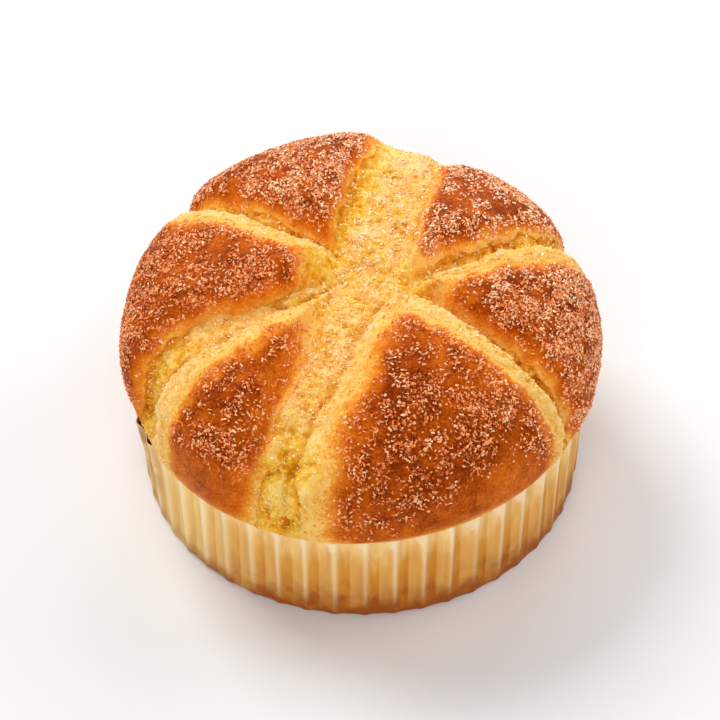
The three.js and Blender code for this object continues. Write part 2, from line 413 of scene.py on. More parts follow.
finish_with(bun, "REMESH", mode="VOXEL", voxel_size=FORM_VOXEL * MM, adaptivity=0)
x, y, z = places(bun)
cuts = read_cuts(x, y)
fade = smooth((z - rim_height(x, y)) / FADE_HEIGHT)
puffed = np.maximum(cuts["foot"] / LIFT_WIDTH, cuts["place"] / LIFT_WALLS)
relief = cuts["lift"] * smooth(puffed) - cuts["press"]
relief += ROLL_HEIGHT * cuts["lip"] * bell((cuts["foot"] - ROLL_PLACE) / ROLL_WIDTH)
lean = CROWN_LEAN * (x * math.cos(LEAN_ANGLE) + y * math.sin(LEAN_ANGLE)) / CROWN_RADIUS
under_crown = np.clip((CROWN_LEVEL - z) / (CROWN_LEVEL - RIM_HEIGHT), 0, 1)
rise = (rim_height(x, y) - RIM_HEIGHT) * under_crown * smooth(z / RIM_HEIGHT)
push(bun, relief * fade)
push(bun, lean * fade + rise, "Z")
finish_with(bun, "REMESH", mode="VOXEL", voxel_size=SKIN_VOXEL * MM, adaptivity=0)
count(bun)

# %% [markdown]
# The part inside the case is never seen, so it doesn't need a fine skin. It is cut off a
# little under the rim, and the open edge is drawn down to the bottom again in a few long
# steps. The mesh stays closed, and half of its triangles are gone.

# %% The part inside the case
HIDDEN_LEVEL = RIM_HEIGHT - 4  # below this nothing is seen

pick(bun)
edit("SELECT")
bpy.ops.mesh.bisect(plane_co=(0, 0, HIDDEN_LEVEL * MM), plane_no=(0, 0, 1), clear_inner=True)
bpy.ops.mesh.select_all(action="DESELECT")
bpy.ops.mesh.select_mode(type="EDGE")
bpy.ops.mesh.select_non_manifold()
hidden_rings = [(valley_radius(HIDDEN_LEVEL / RIM_HEIGHT), HIDDEN_LEVEL)]
hidden_rings += profile[:HEEL_RINGS + 1][::-1]
draw_up(hidden_rings)
bpy.ops.mesh.edge_face_add()
close(bun)

# %% [markdown]
# ## Torn crumb
#
# Where the dough tore, the crumb shows: grains and small lumps, finer than the skin's faces.
# So the faces of the opened parts alone are divided once more.

# %% Divide the opened parts
OPENED_MARGIN = 0.8  # millimetres past the crust's edge


def opened_faces(piece):
    """For each face, whether its middle lies in a cut or on the very edge of the crust."""
    flat = np.empty(len(piece.data.polygons) * 3)
    piece.data.polygons.foreach_get("center", flat)
    fx, fy, fz = flat.reshape(-1, 3).T / MM
    fx, fy = fx - AXIS_X, fy - AXIS_Y
    return (read_cuts(fx, fy)["margin"] < OPENED_MARGIN) & (fz > rim_height(fx, fy) + 1)


edit("DESELECT")
bpy.ops.mesh.select_mode(type="FACE")
bpy.ops.object.mode_set(mode="OBJECT")
bun.data.polygons.foreach_set("select", opened_faces(bun))
bpy.ops.object.mode_set(mode="EDIT")
bpy.ops.mesh.subdivide(number_cuts=1, smoothness=0)
bpy.ops.object.mode_set(mode="OBJECT")
bun.data.shade_smooth()
bun.name = bun.data.name = "bun_skin"
count(bun)

# %% [markdown]
# The crumb is made of grains and lumps, biggest in the front cut, with cracks along the feet
# of the walls and fine strands on the lips, where the dough was drawn out before it tore. They
# could be sculpted by hand, but rules give the same result each time. Displace modifiers with
# soft procedural textures then roughen the crumb, and weights keep them off the crust, which
# gets only a faint, leathery unevenness. How far each point rose or sank is kept, because the
# finish paints shade into the crumb: darker and yellower in its cracks, paler on its rises.

# %% Helpers for the crumb
def roughen(piece, amounts, size, strength):
    """Displaces a piece along its normals by this strength with bumps of this size, both in
    millimetres, where amounts, from 0 to 1, allow it."""
    texture = bpy.data.textures.new("rough", "CLOUDS")
    texture.noise_scale = size * MM
    texture.noise_depth = 1
    displace(piece, amounts, texture=texture, texture_coords="LOCAL", mid_level=0.5,
             strength=strength * MM)


def normals(piece):
    """The vertices' normals as three rows."""
    flat = np.empty(len(piece.data.vertices) * 3)
    piece.data.vertices.foreach_get("normal", flat)
    return flat.reshape(-1, 3).T


# %% Lumps
LUMPS = [  # in the wide cuts: middle, half width, half height, rise, crease around it
    ((-16.4, -42, 32.3), 3.8, 6.6, 1.3, 0.5),
    ((-17.5, -36, 40), 3.2, 3, 0.6, 0.2),
    ((-14, -29, 44), 4.4, 3.5, 0.7, 0.1),
    ((-9, -46, 29), 4, 6, 0.7, 0),
    ((-10.2, -43, 36.5), 4, 5, 0.8, 0.1),
    ((-9.6, -37.5, 42.5), 4, 4, 0.7, 0),
    ((-8, -22.5, 44.5), 4, 3, 0.6, 0.1),
    ((-3, -15.5, 46.5), 4.5, 3, 0.6, 0.1),
    ((3, -12.5, 49), 4.2, 3.2, 1, 0.1),
    ((8, 38, 46.5), 9, 9, 1.8, 0),
]
LUMP_EDGE = 1.1  # half widths out to where a lump ends and its crease lies
CREASE_WIDTH = 0.2
LUMP_WOBBLE = 0.12  # how uneven a lump's outline is


def lump_heights(points):
    """How far the lumps stand out, with a crease around some."""
    heights = np.zeros(points.shape[1])
    wobble = 1 + LUMP_WOBBLE * wander(points, 3, 22)
    for (lump_x, lump_y, lump_z), width, height, rise, crease in LUMPS:
        away = np.hypot((points[0] - lump_x) / width, (points[1] - lump_y) / width)
        away = np.hypot(away, (points[2] - lump_z) / height)
        away *= wobble
        lump = rise * (1 - smooth(away / LUMP_EDGE))
        lump -= crease * bell((away - LUMP_EDGE) / CREASE_WIDTH)
        heights = np.where(np.abs(lump) > np.abs(heights), lump, heights)
    return heights


print(f"{len(LUMPS)} lumps, up to {max(rise for *_, rise, crease in LUMPS)} mm")

# %% Torn crumb
CRACK_DEPTH = 0.9
CRACK_PLACE = 0.2  # from the foot of the wall
CRACK_WIDTH = 0.6
STRAND_HEIGHT = 0.2
STRAND_WIDTH = 0.9
STRAND_STRETCH = 3  # they are this much longer up the lip than along it

x, y, z = before = places(bun)
facing = normals(bun)
cuts = read_cuts(x, y)
height = z - rim_height(x, y)
above_rim = smooth((height - 0.5) / 3)
opened = (1 - smooth(cuts["margin"] / 1.2 + 0.8)) * above_rim
crack = cuts["crack"] * bell((cuts["foot"] - CRACK_PLACE) / CRACK_WIDTH) * opened
crack *= smooth((height - 2) / 4)  # it dies out near the rim
crack *= np.clip(0.9 + 0.8 * wander(before, 4, 20), 0, 1.3)  # and comes and goes
push(bun, -CRACK_DEPTH * crack)
push(bun, lump_heights(before) * above_rim)
strands = np.array([cuts["run"], cuts["foot"] / STRAND_STRETCH, z / 2])
strands = wander(strands, STRAND_WIDTH, 24)
push(bun, STRAND_HEIGHT * strands * opened * cuts["lip"])
on_floor = smooth(0.5 - 2 * cuts["place"])
closed = (1 - opened) * above_rim
for where, size, strength in (
        (opened * cuts["sand"] * on_floor, 4, 1.4),
        (opened * (0.75 + 0.25 * on_floor), 2.8, 1.2),
        (opened, 1.1, 1.0),
        (closed, 7, 0.9),
        (closed, 1.6, 0.2)):
    roughen(bun, where, size, strength)
raised = np.sum((places(bun) - before) * facing, axis=0)
count(bun)
print(f"crumb relief from {raised.min():.1f} to {raised.max():.1f} mm")

# %% [markdown]
# ## Maps for the bun's finish
#
# Browning isn't a pattern that lies anywhere on the bun. It follows the shape: heat browned
# the middle of each lobe most and its edges least, and the torn parts hardly at all. An
# image could be painted for it, but the same reading of the cuts says it all, so the maps are
# worked out from that and stored with the vertices, and the material only has to turn them
# into colours.
#
# `crust` is 1 where the dough has a skin. `baked` grows from 0 at the crust's edge to 1 well
# inside a lobe, and is low again at its `tip`, near the middle of the bun. Steep walls get a
# golden painted shade, and some lips are golden. `bare` is the smooth dough just over the rim.
# No oven bakes evenly, so each direction gets a little more or less.

# %% Browning
CRUST_EDGE = 1.4  # millimetres over which crumb turns to crust
BAKED_EDGE = 5  # millimetres over which crust turns fully brown
GOLDEN = 0.2  # how brown a steep wall is painted, as painted shade
# The lists below say how much, in which direction and over what spread, in degrees.
# Steep walls get less painted shade towards the right and more in one groove at the left.
PALER_WALLS = [(0.9, 22, 28)]
BROWNER_WALLS = [(0.14, 188, 12)]
GOLDEN_LIPS = [(0.12, 264, 10)]
BARE_LEVEL = 25  # below this height the lobes are smooth and bare of sugar
BARE_HIGHER = [(9, 228, 18), (11, 302, 20)]
BARE_FADE = 7
TIP_LENGTH = 4
LONGER_TIPS = [(12, 350, 25), (7, 225, 20)]
PALER_RIM = [(0.4, 290, 30)]
PALER_SIDES = [(0.08, 336, 12), (0.06, 312, 12), (0.08, 226, 20), (0.08, 264, 8)]
PALER_ROOTS = [(0.1, 226, 24, 22), (0.08, 352, 20, 14)]  # and out to what radius
ROOT_FADE = 8
BROWNER_LOBES = [(0.15, 4, 24), (0.04, 118, 20)]


def towards(x, y, angle, spread):
    """1 where a point lies in the direction of an angle, fading over a spread, in degrees."""
    off = (np.degrees(np.arctan2(y, x)) - angle + 180) % 360 - 180
    return bell(off / spread)


def by_side(x, y, sides):
    """The sum of amounts that each fade away from their own direction."""
    return sum(amount * towards(x, y, angle, spread) for amount, angle, spread in sides)


x, y, z = points = places(bun)
cuts = read_cuts(x, y)
radius = np.hypot(x, y)
height = z - rim_height(x, y)
above_rim = smooth((height + 0.5) / 1.5)
ragged = 0.9 * wander(points, 2.2, 3) + 0.5 * wander(points, 0.9, 4)
crust = smooth((cuts["margin"] + ragged) / CRUST_EDGE + 0.5)
baked = smooth((cuts["margin"] + 0.2 + wander(points, 5, 5)) / BAKED_EDGE)
# Painted shade, golden brown, on the steep walls, and golden at the front-left edge of a lobe
# as well.
golden = GOLDEN * (1 - by_side(x, y, PALER_WALLS)) + by_side(x, y, BROWNER_WALLS)
golden = golden * (1 - cuts["lip"]) + by_side(x, y, GOLDEN_LIPS)
golden *= 1 - baked
tip = TIP_LENGTH + by_side(x, y, LONGER_TIPS)
baked *= 0.1 + 0.9 * smooth((radius - CORE_RADIUS) / tip)
bottom = 1 - smooth(height / 7)
bare_height = BARE_LEVEL + by_side(x, y, BARE_HIGHER)
bare = 1 - smooth((z - bare_height) / BARE_FADE)
front = towards(x, y, 259, 52)  # the two front lobes are painted darker, a painted shade, and get less sugar
frost = np.minimum(1, 1.6 * towards(x, y, 52, 62))  # more sugar at the back right, painted whiter as a painted highlight
brown = baked * (0.8 + 0.12 * front - 0.3 * bottom - 0.14 * bare) + golden
brown += baked * (0.05 * frost + by_side(x, y, BROWNER_LOBES))
brown -= by_side(x, y, PALER_RIM) * (1 - smooth(height / 3))
brown -= by_side(x, y, PALER_SIDES)
for amount, angle, spread, reach in PALER_ROOTS:
    near_root = 1 - smooth((radius - reach) / ROOT_FADE)
    brown -= amount * towards(x, y, angle, spread) * near_root
brown += 0.16 * wander(points, 9, 6) + 0.16 * wander(points, 3, 7)
print(f"crust covers {crust.mean():.0%} of the vertices")

# %% [markdown]
# Coarse `sugar` stuck to the crust in heaps, a little away from its edges. Fine sugar is
# `sand` on the floors of the cuts and thin `dust` elsewhere. The folds at the feet of some
# walls are so deep that no sugar fell into them, and they get painted shade, a dark orange,
# except where a cut is `creamy` from lip to floor. Crust darkens where sugar lies, because
# sugar browns before dough does. A painted shade grows up the walls towards the crust, where
# crumb turns to honey, and the crumb's relief is kept so that its hollows get painted shade.

# %% Maps for the bun's finish
CREAMY_ANGLE = 202
CREAMY_SPREAD = 12
CREAMY_FROM = 14  # from the middle, and fading out from CREAMY_TO
CREAMY_TO = 29
YOLK_ANGLE = 250  # the front cut is yellowest where it runs down to the rim
YOLK_SPREAD = 12
YOLK_FROM = 34
FOLD_WIDTH = 0.9

sugar = crust * smooth((cuts["margin"] - 0.5) / 2) * (1 - bare) * above_rim
sugar *= smooth((radius - CORE_RADIUS - 0.6 * (tip - TIP_LENGTH)) / 3)
sugar *= np.where(cuts["lip"] > 0, 1, smooth((cuts["foot"] - 0.9) / 1.3))
heaped = np.clip(0.75 + 1.2 * wander(points, 7, 8) + 1.7 * wander(points, 2.4, 9), 0, 2)
sugar *= heaped * (1.3 - 0.75 * front + 0.15 * frost)
brown += 0.14 * (np.clip(sugar, 0, 1) - 0.4)
sand = (1 - crust) * cuts["sand"] * smooth((0.3 - cuts["place"]) / 0.5) * above_rim
dust = np.clip(sand + 0.25 * sugar + 0.25 * (1 - crust) * above_rim, 0, 1)
dust = np.maximum(dust, 0.12 * above_rim * (1 - bare))
creamy = towards(x, y, CREAMY_ANGLE, CREAMY_SPREAD)
creamy *= (1 - smooth((radius - CREAMY_TO) / 9)) * smooth((radius - CREAMY_FROM) / 8)
# Painted shade in the deep folds at the feet of the walls, where no sugar fell.
fold = cuts["crack"] * bell((cuts["foot"] - CRACK_PLACE) / FOLD_WIDTH) * (1 - crust)
fold *= 1 - 0.8 * creamy
dust *= 1 - fold
# Painted shade on the walls: crumb turns to honey towards the crust.
climb = smooth(1 + (cuts["margin"] + ragged) / 4) * smooth(radius / 9 - 1)
yolk = towards(x, y, YOLK_ANGLE, YOLK_SPREAD) * smooth((radius - YOLK_FROM) / 7)
paint(bun, crust=crust, frost=frost, dust=dust, climb=climb, yolk=yolk,
      brown=np.clip(brown, 0, 1),
      sugar=np.clip(sugar, 0, 2),
      sand=np.clip(sand, 0, 1),
      fold=np.clip(fold * (1.1 + wander(points, 2.5, 25)), 0, 1),
      lip=np.maximum(cuts["lip"] * smooth(cuts["foot"] / 1.5), creamy),
      raised=np.clip(0.5 + raised / 2, 0, 1))

# %% [markdown]
# ## Helpers for materials
#
# A finish is a small network of nodes, and so is the strewing of sugar further down. These
# helpers add a node, set its sockets and hand back what it gives, so that a material reads
# like a recipe.

# %% Helpers for materials
def srgb(*levels):
    """A colour given as on a screen, 0 to 255, as the linear colour that shaders use."""
    linear = [((v / 255 + 0.055) / 1.055) ** 2.4 if v > 10 else v / 255 / 12.92 for v in levels]
    return (*linear, 1)


class Network:
    """Short ways to add nodes to a tree."""

    def __init__(self, tree):
        self.nodes = tree.nodes
        self.links = tree.links

    def add(self, kind, output, inputs=(), **settings):
        """Adds a node, sets or links its inputs and gives its output."""
        node = self.nodes.new(kind)
        for name, value in settings.items():
            setattr(node, name, value)
        for name, value in dict(inputs).items():
            self.feed(node.inputs[name], value)
        return node.outputs[output]

    def feed(self, socket, value):
        """Links an output to a socket, or sets the socket to a number or colour."""
        if isinstance(value, bpy.types.NodeSocket):
            self.links.new(value, socket)
        else:
            socket.default_value = value

    def maths(self, operation, first, second, clamp=False):
        """One operation on two values."""
        return self.add("ShaderNodeMath", "Value", {0: first, 1: second},
                        operation=operation, use_clamp=clamp)


class Recipe(Network):
    """A new material, and the steps that finishes are made of."""

    def __init__(self, name):
        self.material = bpy.data.materials.new(name)
        self.material.use_nodes = True
        super().__init__(self.material.node_tree)
        self.finish = self.nodes["Principled BSDF"]

    def map(self, name):
        """A map that was painted on the piece."""
        return self.add("ShaderNodeAttribute", "Fac", attribute_name=name)

    def noise(self, size, detail=2, stretch=(1, 1, 1)):
        """Noise whose bumps are about this size in millimetres, from about 0.2 to 0.8."""
        place = self.add("ShaderNodeTexCoord", "Object")
        place = self.add("ShaderNodeMapping", "Vector", {"Vector": place, "Scale": stretch})
        return self.add("ShaderNodeTexNoise", "Fac",
                        {"Vector": place, "Scale": 1 / (size * MM), "Detail": detail})

    def vary(self, value, by, amount):
        """Adds noise, taken as centred on a half, to a value."""
        centred = self.maths("SUBTRACT", by, 0.5)
        return self.maths("ADD", value, self.maths("MULTIPLY", centred, amount), clamp=True)

    def ramp(self, value, stops):
        """Colours that change along a value. A stop is (value, red, green, blue)."""
        colour = self.add("ShaderNodeValToRGB", "Color", {"Fac": value})
        elements = colour.node.color_ramp.elements
        while len(elements) < len(stops):
            elements.new(1)
        for element, (place, *levels) in zip(elements, stops):
            element.position = place
            element.color = srgb(*levels)
        return colour

    def mix(self, share, first, second, kind="RGBA"):
        """first where share is 0 and second where it is 1, as colours or as numbers."""
        return self.add("ShaderNodeMix", "Result", {"Factor": share, "A": first, "B": second},
                        data_type=kind)

    def tint(self, colour, share, amount, other):
        """Lets another colour in by an amount of a share."""
        return self.mix(self.maths("MULTIPLY", share, amount), colour, other)

    def spread(self, value, low, high):
        """Stretches low to high over 0 to 1."""
        return self.add("ShaderNodeMapRange", "Result",
                        {"Value": value, "From Min": low, "From Max": high})

    def bump(self, height, distance, under=None):
        """A bump of this distance in millimetres, over another one if there is one."""
        inputs = {"Height": height, "Distance": distance * MM, "Strength": 1}
        if under is not None:
            inputs["Normal"] = under
        return self.add("ShaderNodeBump", "Normal", inputs)

    def finished(self, sockets):
        """Links or sets the shader's own sockets and gives the material."""
        for name, value in sockets.items():
            self.feed(self.finish.inputs[name], value)
        return self.material


def dress(piece, material):
    """Makes this a piece's only material."""
    piece.data.materials.clear()
    piece.data.materials.append(material)
    print(f"{piece.name}: {material.name}, of {len(material.node_tree.nodes)} nodes")


# %% [markdown]
# ## Crust and crumb
#
# The crust goes from pale gold where it just closed over the dough, through orange, to a
# deep chestnut. The crumb is egg yellow on the floors, honey on the steep walls, a painted
# shade, cream on the torn lips and peach where fine sugar lies in it. One material with masks
# suits this better than two, because crumb turns to crust over a millimetre and no face ends
# there. In each ramp, low places of the relief get painted shade and high ones a paler, lit
# tone.

# %% Crust and crumb
BROWNED = [
    (0.0, 250, 198, 104), (0.14, 242, 168, 64), (0.32, 230, 136, 38),
    (0.55, 208, 104, 16), (0.76, 176, 74, 6), (1.0, 118, 38, 1)]


def bake_finish():
    """The finish of crust and crumb, from the bun's maps."""
    dish = Recipe("baked dough")
    fine, medium, broad = dish.noise(0.5, 2), dish.noise(1.6, 3), dish.noise(4, 2)
    crust_mask = dish.spread(dish.vary(dish.map("crust"), medium, 0.4), 0.25, 0.75)
    browning = dish.vary(dish.vary(dish.map("brown"), medium, 0.4), fine, 0.6)
    browned = dish.ramp(browning, BROWNED)
    # The relief, varied by noise: in every ramp below, its low places get painted shade and its
    # high ones a paler, lit tone.
    height = dish.vary(dish.vary(dish.map("raised"), medium, 0.9), fine, 0.55)
    crumb = dish.ramp(height, [
        (0.05, 204, 120, 4), (0.28, 234, 164, 24), (0.5, 248, 190, 56),
        (0.8, 254, 216, 116)])
    honey = dish.ramp(height, [(0.15, 184, 88, 2), (0.5, 216, 126, 14), (0.85, 236, 160, 44)])
    sand = dish.ramp(height, [
        (0.05, 206, 130, 34), (0.3, 236, 173, 86), (0.5, 244, 190, 114),
        (0.85, 252, 214, 158)])
    yellow_sand = dish.ramp(height, [
        (0.05, 200, 126, 10), (0.3, 233, 168, 46), (0.5, 244, 187, 74),
        (0.85, 252, 210, 124)])
    lip = dish.ramp(height, [
        (0.05, 212, 130, 24), (0.28, 237, 173, 70), (0.5, 248, 197, 106),
        (0.85, 255, 220, 156)])
    yolk = dish.ramp(height, [
        (0.05, 206, 130, 6), (0.3, 236, 170, 22), (0.6, 249, 197, 52),
        (0.95, 255, 218, 110)])
    # Honey up the walls is painted shade.
    wall = dish.mix(dish.map("climb"), crumb, honey)
    inside = dish.mix(dish.map("lip"), wall, lip)
    sanded = dish.mix(dish.spread(broad, 0.4, 0.6), yellow_sand, sand)
    inside = dish.mix(dish.map("sand"), inside, sanded)
    inside = dish.tint(inside, dish.map("yolk"), 0.8, yolk)
    # Painted shade, a dark orange, in the deep folds.
    inside = dish.tint(inside, dish.map("fold"), 0.85, srgb(186, 98, 6))
    uneven = dish.bump(medium, 0.25)
    grains = dish.maths("MULTIPLY", dish.noise(0.8, 2), dish.maths("SUBTRACT", 1, crust_mask))
    uneven = dish.bump(grains, 0.35, uneven)
    return dish.finished({
        "Base Color": dish.mix(crust_mask, inside, browned),
        "Roughness": dish.mix(crust_mask, 0.7, dish.spread(medium, -0.9, 1.6), "FLOAT"),
        "Specular IOR Level": 0.15,
        "Specular Tint": srgb(255, 180, 100),
        "Subsurface Weight": 0.12,
        "Subsurface Radius": (1.0, 0.45, 0.15),
        "Subsurface Scale": 1.2 * MM,
        "Normal": dish.bump(fine, 0.12, uneven)})


dress(bun, bake_finish())

# %% [markdown]
# ## The paper case
#
# One disc of greaseproof paper, pressed into flutes. One flute could be modelled and turned
# round 48 times, but real flutes are never even. So a disc is drawn up ring by ring, as for
# the bun, and the flutes are pushed out afterwards, each with its own width and height. At
# the rim, where no dough holds them, they open like fans, and on one side the rim stands off.

# %% The case's plain form
FLUTE_POINTS = 16
WALL_ROWS = 20
ROW_POWER = 1.6  # above 1, the rows lie closer towards the rim
EDGE_ROWS = 3
BASE_EDGE = 0.8
BASE_FLUTE_DEPTH = 0.4  # the flutes are shallower at the bottom


def wall_radius(level):
    """The radius of the flutes' valleys, outside."""
    depth = BASE_FLUTE_DEPTH + (FLUTE_DEPTH - BASE_FLUTE_DEPTH) * level
    return BASE_RADIUS + (RIM_RADIUS - BASE_RADIUS) * level - depth


case_rings = [(wall_radius(0) - BASE_EDGE * (1 - sine), BASE_EDGE * (1 - cosine))
              for sine, cosine in quarter(EDGE_ROWS)]
for row in range(1, WALL_ROWS + 1):
    level = 1 - (1 - row / WALL_ROWS) ** ROW_POWER
    case_rings.append((wall_radius(level), BASE_EDGE + (RIM_HEIGHT - BASE_EDGE) * level))

paper_case = add_disc("fluted_case", FLUTES * FLUTE_POINTS, *case_rings[0])
edit("SELECT")
draw_up(case_rings)
bpy.ops.mesh.delete(type="ONLY_FACE")
close(paper_case)

# %% The flutes
FLARE = 1.7  # the rim stands away from the bun at FLARE_ANGLE
FLARE_ANGLE = math.radians(195)
FLARE_SPREAD = math.radians(15)
FAN_DEPTH = 0.16  # the flutes open this far down the wall, as a share of its height
RIDGE_SHARPNESS = 3
FAN_SOFTENING = 1.4
CRINKLE = 0.2  # how far the paper puckers between its flutes


def read_flutes(piece):
    """For each point of the case: its angle, level up the wall, how far its flute opens like a
    fan, place across the flute from -0.5 to 0.5 with the ridge at 0, and a circle of points
    for noise that closes up."""
    x, y, z = places(piece)
    angle = np.arctan2(y, x) % math.tau
    level = np.clip((z - BASE_EDGE) / (RIM_HEIGHT - BASE_EDGE), 0, 1)
    around = np.array([np.cos(angle), np.sin(angle), 0 * angle]) * CROWN_RADIUS
    uneven = 0.14 * wander(around, 11, 10) + 0.06 * wander(around, 4, 11)
    across = (FLUTES * angle / math.tau + uneven + 0.5) % 1 - 0.5
    return angle, level, smooth((level - 1 + FAN_DEPTH) / FAN_DEPTH), across, around


angle, level, fan, across, around = read_flutes(paper_case)
sharpness = RIDGE_SHARPNESS - FAN_SOFTENING * fan
ridge = (0.5 + 0.5 * np.cos(math.tau * across)) ** sharpness
own_height = np.clip(0.8 + 0.28 * wander(around, 8, 12), 0.5, 1)
bulge = (BASE_FLUTE_DEPTH + (FLUTE_DEPTH - BASE_FLUTE_DEPTH) * level) * ridge * own_height
crinkle = CRINKLE * wander(np.array([around[0], around[1], 12 * level]), 3, 13) * level
off_flare = (angle - FLARE_ANGLE + math.pi) % math.tau - math.pi
flare = level ** 2 * bell(off_flare / FLARE_SPREAD)
outward = bulge + np.maximum(0, crinkle) + FLARE * flare
rim_wave = (0.3 * wander(around, 5, 14) + 0.4 * wander(around, 2.5, 15) + 0.4 * flare) * level
x, y, z = places(paper_case)
push(paper_case, outward * np.cos(angle), "X")
push(paper_case, outward * np.sin(angle), "Y")
push(paper_case, level * (rim_height(x, y) - RIM_HEIGHT) + rim_wave, "Z")
finish_with(paper_case, "SOLIDIFY", thickness=PAPER * MM, offset=-1)
paper_case.data.shade_smooth()
count(paper_case)

# %% [markdown]
# ## Paper finish
#
# Where the paper clings to the baked dough it is soaked with butter and shows the dough
# through, tan and golden. The ridges stand free of it and stay cream, and so do the little
# fans at the rim, which open on the clockwise side of their ridges, and the stretch where the
# paper hangs loose and dry. Each flute is painted lighter towards its clockwise side, as
# painted light. Along the bottom the butter browned, and the very foot is darker still, most
# at the front, browned and with painted contact shade. At the left one stripe, where the rim
# stands off, is darker brown. Which part is which follows the flutes, so it is painted on from
# them.

# %% Maps for the paper
LOOSE_ANGLE = math.radians(212)
LOOSE_SPREAD = math.radians(24)
RIDGE_PLACE = 0.02  # of a flute's width, anticlockwise of its middle
RIDGE_WIDTH = 0.06
FAN_WIDTH = 0.45
BROWN_FOOT = 0.2  # the browning reaches this far up the wall, as a share of its height
BROWN_FOOT_FADE = 0.16
DARK_FOOT = 0.13
DARK_FOOT_FADE = 0.1

angle, level, fan, across, around = read_flutes(paper_case)
loose = bell((angle - LOOSE_ANGLE) / LOOSE_SPREAD)
ridge_line = bell((across - RIDGE_PLACE) / (RIDGE_WIDTH + 0.05 * level + 0.06 * loose))
ridge_line *= 0.65 + 0.35 * loose + 0.4 * wander(around, 6, 17)
free = np.clip(0.25 + 2 * level + 0.7 * loose, 0, 1)
fan_width = FAN_WIDTH * fan * np.clip(0.85 + 0.6 * wander(around, 5, 16), 0.3, 1.1)
fans = smooth((0.08 - across) / 0.08) * smooth((across + fan_width) / 0.12 + 0.3)
fans *= smooth(fan * 8)
x, y, z = places(paper_case)
browned = np.clip((BROWN_FOOT - level) / BROWN_FOOT_FADE, 0, 1)
browned *= 0.25 + 0.75 * towards(x, y, 290, 45)
# One stripe at the left, where the rim stands off, is darker brown.
browned += 0.7 * towards(x, y, 195, 10) * smooth(3 * level - 0.5)
# The very foot is darker still, most at the front: browning and a painted contact shade.
dark_foot = np.clip((DARK_FOOT - level) / DARK_FOOT_FADE, 0, 1)
browned += (0.35 + 0.45 * towards(x, y, 254, 22)) * dark_foot
paint(paper_case, fan=fans, loose=loose, browned=browned, level=level,
      ridge=ridge_line * free * (0.5 + 0.5 * level),
      # Painted light: each flute is lighter towards its clockwise side.
      slope=smooth(0.5 - across) * (0.6 + 0.4 * loose) * free)


# %% Paper finish
def paper_finish():
    """The finish of the case, from its maps."""
    sheet = Recipe("greaseproof paper")
    level = sheet.map("level")
    streak = sheet.noise(2.5, 2, (1, 1, 0.25))
    blotch, fibre = sheet.noise(4, 3), sheet.noise(0.35, 2)
    panel = sheet.ramp(sheet.vary(level, streak, 1.2), [
        (0.0, 180, 96, 4), (0.4, 207, 132, 30), (0.8, 222, 154, 54), (1.0, 242, 190, 100)])
    stain = sheet.maths("MULTIPLY", sheet.spread(blotch, 0.46, 0.6),
                        sheet.spread(level, 0.5, 0.08))
    dry = sheet.spread(sheet.vary(level, streak, 0.5), 0.66, 1.0)
    browned = sheet.maths("MULTIPLY", sheet.map("browned"), sheet.spread(blotch, 0.25, 0.55))
    colour = panel
    for share, amount, other in (
            (stain, 0.9, srgb(148, 66, 0)),
            # painted light on the clockwise side of each flute
            (sheet.map("slope"), 0.62, srgb(249, 204, 122)),
            (dry, 0.6, srgb(252, 218, 156)),
            (sheet.map("loose"), 0.55, srgb(255, 220, 136)),
            (sheet.map("ridge"), 1, srgb(255, 234, 184)),
            (sheet.map("fan"), 0.8, srgb(252, 226, 188)),
            (browned, 1, srgb(160, 80, 4))):
        colour = sheet.tint(colour, share, amount, other)
    return sheet.finished({
        "Base Color": colour,
        "Roughness": sheet.spread(fibre, -1.0, 1.6),
        "Specular IOR Level": 0.2,
        "Normal": sheet.bump(fibre, 0.03)})


dress(paper_case, paper_finish())

# %% [markdown]
# ## Sugar
#
# Sugar has a shape and a size of its own, so it is real mesh. A particle system could strew
# it, but Geometry Nodes give every crystal its own size, tilt and tone, and the same ones
# each time. One crystal is modelled, a three-sided shard with one end narrowed, and copies of
# it are scattered where the maps say that sugar fell. The copies are realized and the
# modifier applied, so what is left is an ordinary mesh.

# %% One crystal
SHARD_RADIUS = 0.55
NARROWED = (1, 0.7, 0.8)  # how much of its size the far end keeps
SKEWED = (0, 0.1, 0.06)  # and how far it is moved


def crystal(name):
    """A shard of sugar one millimetre across, to be scaled by the scatter."""
    bpy.ops.mesh.primitive_cylinder_add(
        vertices=3, radius=SHARD_RADIUS * MM, depth=MM, rotation=(0, math.pi / 2, 0))
    grain = name_new(name)
    bpy.ops.object.transform_apply(location=True, rotation=True, scale=True)
    edit("DESELECT")
    bpy.ops.object.mode_set(mode="OBJECT")
    for face in grain.data.polygons:
        face.select = face.normal.x > 0.9
    bpy.ops.object.mode_set(mode="EDIT")
    bpy.ops.transform.resize(value=NARROWED, center_override=(MM / 2, 0, 0))
    bpy.ops.transform.translate(value=[move * MM for move in SKEWED])
    bpy.ops.object.mode_set(mode="OBJECT")
    return grain


grain = crystal("grain")
count(grain)

# %% How the crystals are strewn
TILT = 0.7  # how far a crystal may tip out of the surface, in radians


